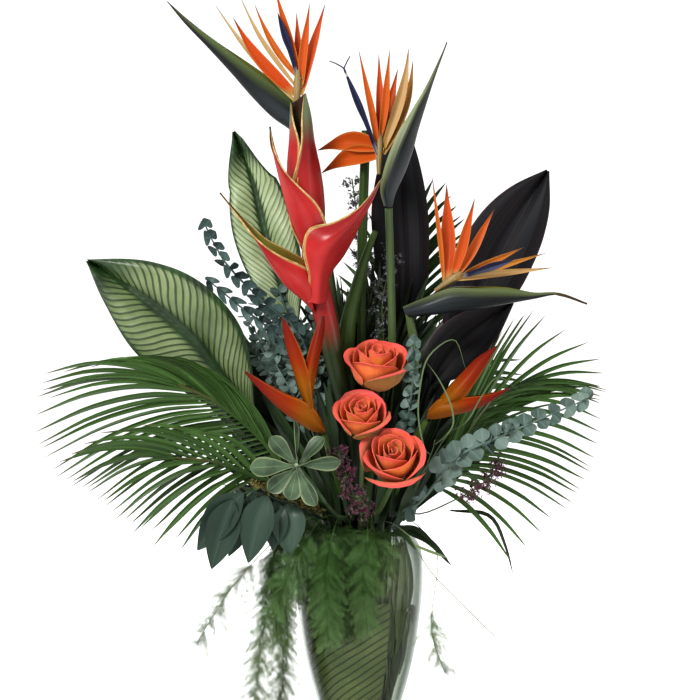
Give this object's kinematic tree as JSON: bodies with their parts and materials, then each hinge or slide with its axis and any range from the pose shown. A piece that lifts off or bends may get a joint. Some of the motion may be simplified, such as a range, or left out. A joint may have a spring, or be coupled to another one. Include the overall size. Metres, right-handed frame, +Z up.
{
  "type": "tropical flower arrangement in a glass vase",
  "caption": "Tall tropical flower arrangement with birds of paradise, heliconias, roses and foliage, standing in a clear glass urn vase with water.",
  "frame": {"origin": "middle of the vase's flat foot, on the surface that it stands on", "axes": "+Z up, +X to the right and -Y to the front, the side that the flowers face"},
  "size_m": [0.586, 0.2937, 0.8121],
  "materials": {
    "clear_glass": "clear, polished",
    "water": "clear water",
    "lining_leaf": "satin leaf, striped",
    "flower_stem": "satin, smooth stem",
    "bird_spathe": "waxy, bluish green",
    "bird_petal": "satin, waxy petals",
    "heliconia_red": "waxy, satin",
    "parrot_orange": "waxy, satin",
    "rose_petal": "soft, velvety petals",
    "green_stalk": "satin, smooth",
    "variegated_leaf": "satin, veined",
    "ti_leaf": "glossy, nearly black",
    "palm_leaf": "satin",
    "eucalyptus_leaf": "matt, powdery",
    "pittosporum_leaf": "satin, cream edged",
    "seeded_eucalyptus": "matt",
    "asparagus_fern": "fine, matt",
    "limonium": "dry, papery",
    "waxflower": "soft, small petals",
    "grass_blade": "satin"
  },
  "bodies": {
    "root": {"asparagus_far_left": "asparagus_fern", "asparagus_front": "asparagus_fern", "asparagus_front_left": "asparagus_fern", "asparagus_front_right": "asparagus_fern", "asparagus_left": "asparagus_fern", "asparagus_left_inner": "asparagus_fern", "asparagus_right": "asparagus_fern", "bird_1_flowers": "bird_petal", "bird_1_spathe": "bird_spathe", "bird_1_stem": "flower_stem", "bird_2_flowers": "bird_petal", "bird_2_spathe": "bird_spathe", "bird_2_stem": "flower_stem", "bird_3_flowers": "bird_petal", "bird_3_spathe": "bird_spathe", "bird_3_stem": "flower_stem", "eucalyptus_centre": "eucalyptus_leaf", "eucalyptus_right": "eucalyptus_leaf", "eucalyptus_small": "eucalyptus_leaf", "eucalyptus_upper_left": "eucalyptus_leaf", "grass_low": "grass_blade", "grass_tuft": "grass_blade", "green_stalk_slim": "green_stalk", "green_stalk_thick": "green_stalk", "heliconia_bract_left": "heliconia_red", "heliconia_bract_low": "heliconia_red", "heliconia_bract_right": "heliconia_red", "heliconia_bract_top": "heliconia_red", "heliconia_stem": "heliconia_red", "limonium_centre": "limonium", "limonium_upper": "limonium", "lining_leaf": "lining_leaf", "palm_back_left": "palm_leaf", "palm_back_right": "palm_leaf", "palm_left": "palm_leaf", "palm_left_low": "palm_leaf", "palm_right": "palm_leaf", "palm_upper": "palm_leaf", "parrot_left_flower": "parrot_orange", "parrot_left_stem": "green_stalk", "parrot_right_flower": "parrot_orange", "parrot_right_stem": "green_stalk", "pittosporum": "pittosporum_leaf", "rose_1_bloom": "rose_petal", "rose_1_stem": "flower_stem", "rose_2_bloom": "rose_petal", "rose_2_stem": "flower_stem", "rose_3_bloom": "rose_petal", "rose_3_stem": "flower_stem", "seeded_eucalyptus": "seeded_eucalyptus", "ti_leaf_centre": "ti_leaf", "ti_leaf_low": "ti_leaf", "ti_leaf_right": "ti_leaf", "variegated_leaf_left": "variegated_leaf", "variegated_leaf_upper": "variegated_leaf", "vase": "clear_glass", "vase_water": "water", "waxflower_centre": "waxflower", "waxflower_right": "waxflower"}
  },
  "joints": []
}
